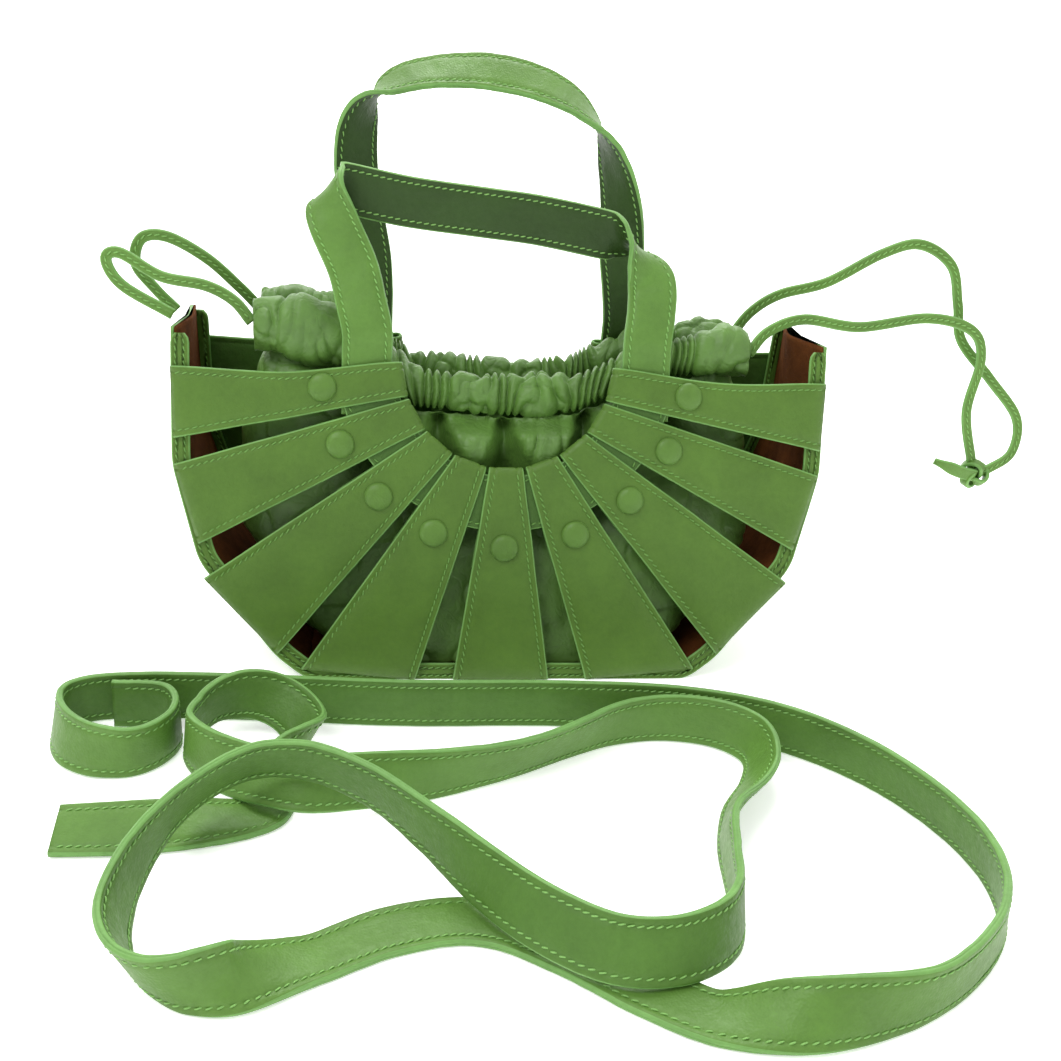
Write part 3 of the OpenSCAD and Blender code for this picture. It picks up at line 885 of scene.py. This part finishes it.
def add_panel_frame(side):
    name = "front" if side == 0 else "back"
    half = inset_line([[-HALF_W, GUSSET_TOP - 2]] + OUTLINE[1:], EDGE_W / 2)
    whole = np.vstack([half, (half * [-1, 1])[::-1]])
    line = rounded(whole, 5, 2.0)
    depth = -LEATHER - 0.95
    mid = on_panel(np.c_[line, np.full(len(line), depth)], side)
    d = tangents(mid)
    g = np.cross(panel_normal(side), d)
    from_end = np.minimum(np.arange(len(line)), np.arange(len(line))[::-1]) * 2.0
    w = EDGE_W * np.sqrt(1 - (1 - np.clip((from_end + 0.8) / 5, 0, 1)) ** 2)
    flat_band(name + "_binding_leather", name + "_edge_binding", mid, g, w, 1.6,
              [OUTER, OUTER, EDGE, THREAD], [2.2], 31 + side)
    a = np.radians(np.linspace(183, 357, 110))
    r = RIM_R + FOLD_R + 0.6 + 12.5
    arc = np.c_[r * np.cos(a), r * np.sin(a), np.full(len(a), -0.9)]
    mid = on_panel(arc, side)
    g = np.cross(panel_normal(side), tangents(mid))
    # Both faces of the collar under the strips take the darker inner leather, which is partly painted shade
    # in the gaps between the strips.
    flat_band(name + "_collar_leather", name + "_collar", mid, g, 25.0, 1.5,
              [INNER_AND_SHADE, INNER_AND_SHADE, EDGE, THREAD], [2.5], 51 + side)


def side_stations(inset, step):
    """Front-view line of one side, from the gusset's top to the base, moved inwards by inset."""
    line = inset_line(OUTLINE, inset)
    line = rounded(line, 7, step)
    return np.c_[line[:, 0], (line[:, 1] + PANEL_H) * math.cos(LEAN) + PANEL_LIFT]


def add_side(mirror, tuck):
    """A gusset with its suede lining. tuck is how far its upper part is pressed inwards in the middle."""
    name = "left" if mirror == 1 else "right"
    for kind, inset, t, skins, w in (
        ("gusset", 0.8, 1.5, [OUTER, INNER_AND_SHADE, EDGE, THREAD], -LEATHER - 0.4),
        ("lining", 2.2, 1.0, [SUEDE] * 4, -LEATHER - 0.6),
    ):
        line = side_stations(inset, 2.0)
        mid = np.c_[line[:, 0] * mirror, np.zeros(len(line)), line[:, 1]]
        width = 2 * half_depth(line[:, 1], w)
        g = np.tile([0.0, -1.0 * mirror, 0.0], (len(line), 1))
        high = np.clip((line[:, 1] - 70) / 80, 0, 1)[:, None]

        def lift(x, y):
            share = np.clip(np.abs(x) / (width[:, None] / 2), 0, 1)
            dent = tuck * high**1.6 * (1 - share**1.4)
            wave = noise(np.c_[np.repeat(line[:, 1], x.shape[1]), x.ravel()], 17).reshape(x.shape)
            return -dent + 0.35 * wave * high

        profile, kinds = band_profile(t, 0.15, [2.5] if kind == "gusset" else [], 0.15, 0.85, 24)
        n = np.cross(tangents(mid), g)
        verts, faces, all_kinds = band_shell(band_sections(mid, g, n, width, profile, lift), kinds)
        piece = add_mesh(name + "_" + kind + "_skin", verts, faces, skins, all_kinds)
        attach(piece, "bag")
        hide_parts(name + "_" + kind)


def add_floor_sheets():
    """The bag's base and the suede sheet on it."""
    for node, z, t, skins, slot in (
        ("base_panel", 1.05, 2.1, [OUTER, INNER_AND_SHADE, EDGE, THREAD], "shell_leather"),
        ("base_lining", 2.7, 1.0, [SUEDE] * 4, "brown_suede"),
    ):
        x = np.linspace(-FLOOR_HALF_W, FLOOR_HALF_W, 60)
        mid = np.c_[x, np.zeros(60), np.full(60, z)]
        width = 2 * half_depth(z + t / 2, -2 * LEATHER - 0.6)
        profile, kinds = band_profile(t, 0.15, [], 0.15, 0.85, 12)
        g = np.tile([0.0, -1.0, 0.0], (60, 1))
        n = np.tile([0.0, 0.0, -1.0], (60, 1))
        verts, faces, all_kinds = band_shell(band_sections(mid, g, n, width, profile), kinds)
        piece = add_mesh(node + "_skin", verts, faces, skins, all_kinds)
        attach(piece, "bag")
        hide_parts(node)


def add_metal():
    """The hidden metal of the snaps is shown as it is in the CAD model."""
    for node in ("front_snap_studs", "back_snap_studs", "front_snap_sockets", "back_snap_sockets"):
        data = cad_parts[node].data
        data.materials.clear()
        data.materials.append(METAL)


add_metal()
for side in (0, 1):
    add_caps(side)
    add_panel_frame(side)
add_side(1, 3.0)
add_side(-1, 7.0)
add_floor_sheets()


# ---- Pouch ----
def ridges(phase, sharp=0.6):
    """Rounded puffs with narrow valleys between them, one for each whole step of phase."""
    return np.abs(np.sin(np.pi * phase)) ** sharp - 0.7


def thin_sheet(grid, t):
    """A cloth surface with thickness t: the grid's points, a copy moved inwards, and the rims between."""
    rows, cols, _ = grid.shape
    around = np.roll(grid, -1, axis=1) - np.roll(grid, 1, axis=1)
    down = np.gradient(grid, axis=0)
    n = unit(np.cross(around, down))
    inside = grid - n * t
    faces = grid_faces(rows, cols, True)
    back = faces[:, ::-1] + rows * cols
    k = np.arange(cols)
    rims = []
    for row, turn in ((0, -1), (rows - 1, 1)):
        rim = np.stack([row * cols + k, row * cols + (k + 1) % cols,
                        (rows + row) * cols + (k + 1) % cols, (rows + row) * cols + k], axis=1)
        rims.append(rim[:, ::turn])
    return np.vstack([grid.reshape(-1, 3), inside.reshape(-1, 3)]), np.vstack([faces, back] + rims)


def mouth_height(x):
    """Height of the pouch's mouth at that place across."""
    line = np.array(MOUTH_LINE, float)
    return np.interp(x, line[:, 0], line[:, 1])


# Deep folds of the pouch below its gathers: place across, and how far each one is pulled in at the front
HOLLOWS = [[-62, 0.5], [-30, 0.9], [1, 1.0], [38, 0.9], [72, 0.5]]
# Where each casing is gathered tight on its thong: place across, and half the width of the gathers
GATHERS = {-1: [[-33, 11], [1, 7], [40, 12], [80, 7]], 1: [[-44, 12], [-12, 7], [34, 15], [80, 8]]}


def rounded_box(count, power):
    """Evenly spaced points round a box with rounded corners that reaches from -1 to 1 both ways."""
    x = np.r_[np.linspace(0, 0.93, 3000), (1 - np.linspace((1 - 0.93**power), 0, 600)) ** (1 / power)]
    y = np.clip(1 - x**power, 0, 1) ** (1 / power)
    run = np.r_[0, np.cumsum(np.hypot(np.diff(x) * 115, np.diff(y) * 30))]
    even = (np.arange(count // 4) + 0.5) * run[-1] / (count // 4)
    qx, qy = np.interp(even, run, x), np.interp(even, run, y)
    right = np.c_[np.r_[qx, qx[::-1]], np.r_[-qy, qy[::-1]]]
    return np.vstack([right, -right])


def pouch_surface():
    """Rings of the pouch from its mouth down to its base: flat-sided, full of folds below the casing."""
    v = np.r_[np.linspace(1, 0.62, 80), np.linspace(0.62, 0, 60)[1:]][:, None]
    across, deep = rounded_box(640, 4.5).T[:, None]
    height = v * POUCH_H
    half_x = np.interp(height, [0, 12, 52, 96, 122, 130], [80, 94, 119, 117, 109, 107])
    x = half_x * across
    top = mouth_height(x)
    z = POUCH_BASE + v * (top - POUCH_BASE)
    depth = half_depth(z, -9.3)
    depth = depth + (20 - depth) * smoothstep(0.93, 1.0, v)
    y = depth * deep
    seed = np.where(deep > 0, 300.0, 0.0)
    flat = np.c_[(x + seed).ravel(), z.ravel()]
    warp = noise(flat, 30).reshape(x.shape)
    below = top - z
    facing = smoothstep(0.6, 0.9, np.abs(deep))
    folds = 0 * x
    for at, front in HOLLOWS:
        shown = np.where(deep < 0, front, 0.5)
        wide = 3.0 + 0.3 * below
        folds -= 21 * shown * np.exp(-(((x - at - 1.5 * warp) / wide) ** 2)) * facing
    folds = folds * smoothstep(-2, 5, below) * (1 - smoothstep(26, 60, below))
    small = ridges(x / 6 + 1.2 * warp, 0.8) * 1.3 * (1 - smoothstep(4, 26, below))
    crumple = 2.0 * noise(flat, 19).reshape(x.shape) + 0.9 * noise(flat, 8).reshape(x.shape)
    lines = -1.6 * np.exp(-np.abs(noise(flat + 40, 15)) * 9).reshape(x.shape)
    flare = 4.0 * np.exp(-((below - 14) / 12) ** 2) * (1 - smoothstep(36, 54, np.abs(x)))
    out = folds + small + crumple + lines + flare
    nx, ny = across * np.abs(across) ** 6, deep * np.abs(deep) ** 1.5
    size = np.maximum(np.hypot(nx, ny), 1e-6)
    grid = np.stack([x + out * nx / size, y + out * ny / size, z - 0.4 * small], axis=-1)
    centre = np.array([0, 0, 4.2])
    closing = [centre + (grid[-1] - centre) * f for f in (0.97, 0.85, 0.6, 0.3, 0.02)]
    return np.concatenate([grid, np.array(closing)])


def casing_surface(side):
    """The gathered tunnel of one side: puffs and creases round the thong, with an open, flared right end."""
    count, turns = 600, 72
    x = np.linspace(-111, 111, count)
    a = np.arange(turns) * 2 * math.pi / turns
    xx, aa = np.meshgrid(x, a, indexing="ij")
    seed = 60.0 if side > 0 else 10.0
    tight = np.clip(sum(np.exp(-(((x - at) / half) ** 4)) for at, half in GATHERS[side]), 0, 1)
    phase = np.cumsum(np.gradient(x) / (9.5 - 6.0 * tight))[:, None]
    tight = tight[:, None]
    around = np.c_[xx.ravel(), np.cos(aa).ravel() * 8 + seed, np.sin(aa).ravel() * 9]
    wobble = noise(around, 15).reshape(xx.shape)
    crumple = noise(around + 30, 6.5).reshape(xx.shape)
    pace = noise(np.c_[x, np.full(count, seed)], 15)[:, None]
    slant = noise(np.c_[x, np.full(count, seed + 31)], 9)[:, None]
    phase = phase + 0.7 * pace + 0.9 * slant * np.sin(aa) + 0.45 * wobble + 0.2 * crumple
    loose = smoothstep(56, 88, np.abs(xx)) * (1 - tight)
    pleat = ridges(phase, 0.85) * (2.2 + 0.5 * tight) * (1 - 0.6 * loose)
    creases = -2.0 * np.exp(-np.abs(wobble - 0.4 * crumple) * 8) * (1 - tight)
    out = pleat + creases + (1.5 + 1.2 * loose) * wobble + 0.5 * crumple - 1.4 * tight
    puff = 4.8 * np.exp(-(((xx + 88) / 24) ** 2)) + 1.6 * np.exp(-(((xx - 100) / 9) ** 2))
    ry, rz = 7.2 + out + 0.8 * puff, 9.8 + out + puff
    ruffle = 1.4 * tight * ridges(phase, 0.6) * np.clip(np.sin(aa), 0, 1) ** 2
    sway = 2.0 * noise(np.c_[x, np.full(count, seed + 5)], 24)[:, None]
    grid = np.stack([
        xx + 1.2 * wobble * (1 - tight), side * CASING_Y + sway + ry * np.cos(aa),
        mouth_height(xx) + 10 + 0.5 * sway + rz * np.sin(aa) + ruffle], axis=-1)
    ends = []
    for row, inward in ((0, 1), (-1, -1)):
        centre = grid[row].mean(0)
        ends.append([centre + (grid[row] - centre) * f + [inward * deep, 0, 0]
                     for f, deep in ((1.05, 0.3), (0.98, 1.2), (0.86, 2.2), (0.7, 5), (0.45, 8), (0.05, 9))])
    return np.concatenate([np.array(ends[0][::-1]), grid, np.array(ends[1])])


def add_pouch():
    verts, faces = thin_sheet(pouch_surface(), 0.5)
    pouch = add_mesh("drawstring_pouch_cloth", verts, faces, [CLOTH])
    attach(pouch, "bag")
    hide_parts("drawstring_pouch")
    for side, node in ((-1, "front_casing"), (1, "rear_casing")):
        grid = casing_surface(side)
        faces = grid_faces(len(grid), grid.shape[1], True)
        piece = add_mesh(node + "_cloth", grid.reshape(-1, 3), faces, [CLOTH])
        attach(piece, "bag")
        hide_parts(node)


add_pouch()


# ---- Stage and light ----
def glowing_material(name, strength):
    """Matt white that also shines a little, so that the surroundings stay white."""
    m = plain_material(name, (1.0, 1.0, 1.0), 0.9, mottle=0.0)
    shader = m.node_tree.nodes["Principled BSDF"]
    shader.inputs["Emission Color"].default_value = (1, 1, 1, 1)
    shader.inputs["Emission Strength"].default_value = strength
    return m


def add_stage():
    """Floor, backdrop and soft lights."""
    far, behind = 6000, 2500
    add_mesh("floor", [[-far, -far, 0], [far, -far, 0], [far, far, 0], [-far, far, 0]],
                      [[0, 1, 2, 3]], [glowing_material("white_floor", 0.42)])
    add_mesh("backdrop",
                      [[-far, behind, 0], [far, behind, 0], [far, behind, far], [-far, behind, far]],
                      [[0, 1, 2, 3]], [glowing_material("white_backdrop", 1.0)])
    world = bpy.data.worlds.new("studio")
    bpy.context.scene.world = world
    world.use_nodes = True
    world.node_tree.nodes["Background"].inputs["Color"].default_value = (1, 1, 1, 1)
    world.node_tree.nodes["Background"].inputs["Strength"].default_value = 0.62
    for name, place, turn, size, power in (
        ("key", (-0.7, -0.7, 1.3), (48, 0, -42), 0.7, 12),
        ("fill", (1.1, -0.6, 0.8), (60, 0, 60), 1.2, 3),
        ("top", (0.1, 0.6, 1.4), (-22, 0, 0), 0.7, 12),
    ):
        data = bpy.data.lights.new(name, "AREA")
        data.size = size
        data.energy = power
        lamp = bpy.data.objects.new(name, data)
        lamp.location = place
        lamp.rotation_euler = [math.radians(a) for a in turn]
        bpy.context.scene.collection.objects.link(lamp)


add_stage()
bpy.context.scene.view_settings.view_transform = "Standard"
